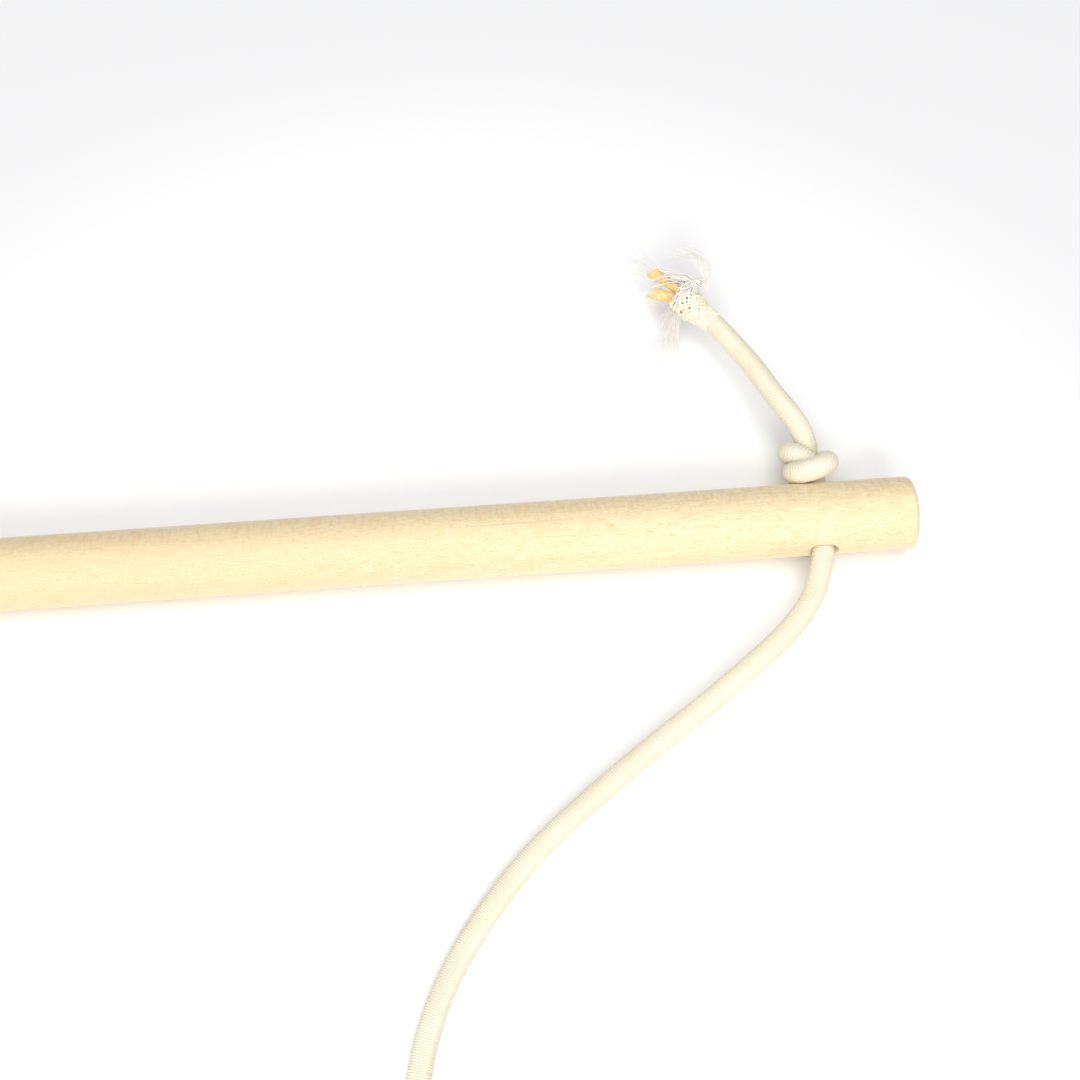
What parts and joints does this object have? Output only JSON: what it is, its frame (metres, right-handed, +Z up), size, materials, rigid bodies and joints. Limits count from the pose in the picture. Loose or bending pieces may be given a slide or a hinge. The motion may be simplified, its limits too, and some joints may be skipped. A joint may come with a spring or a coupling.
{
  "type": "wooden hand stick with elastic cord",
  "caption": "Round wooden juggling hand stick with a knotted elastic cord through a cross-hole near one end; the stick swivels about the cord.",
  "frame": {"origin": "on the plane the stick lies on, under the middle of its length", "axes": "+X along the stick towards its drilled end, +Y from the free cord's side to the stopper knot's side, +Z up"},
  "size_m": [0.4, 0.1956, 0.012],
  "materials": {
    "wood": "bare sanded pale hardwood, fine straight grain",
    "cord_cover": "natural white woven cover with fine cross ribs",
    "rubber_strand": "amber natural rubber, satin"
  },
  "bodies": {
    "cord": {"cord_in_hole": "cord_cover", "cord_run": "cord_cover", "cord_coil": "cord_cover", "cord_end_lead": "cord_cover", "end_knot": "cord_cover", "end_tail": "cord_cover", "stopper_knot": "cord_cover", "knot_tail": "cord_cover", "frayed_cover": "cord_cover", "rubber_strand_1": "rubber_strand", "rubber_strand_2": "rubber_strand"},
    "stick": {"stick": "wood"}
  },
  "joints": [
    {"name": "stick_swivel", "type": "hinge", "parent": "cord", "child": "stick", "pos_m": [0.185, 0, 0.006], "axis": [0, 1, 0], "continuous": true}
  ]
}
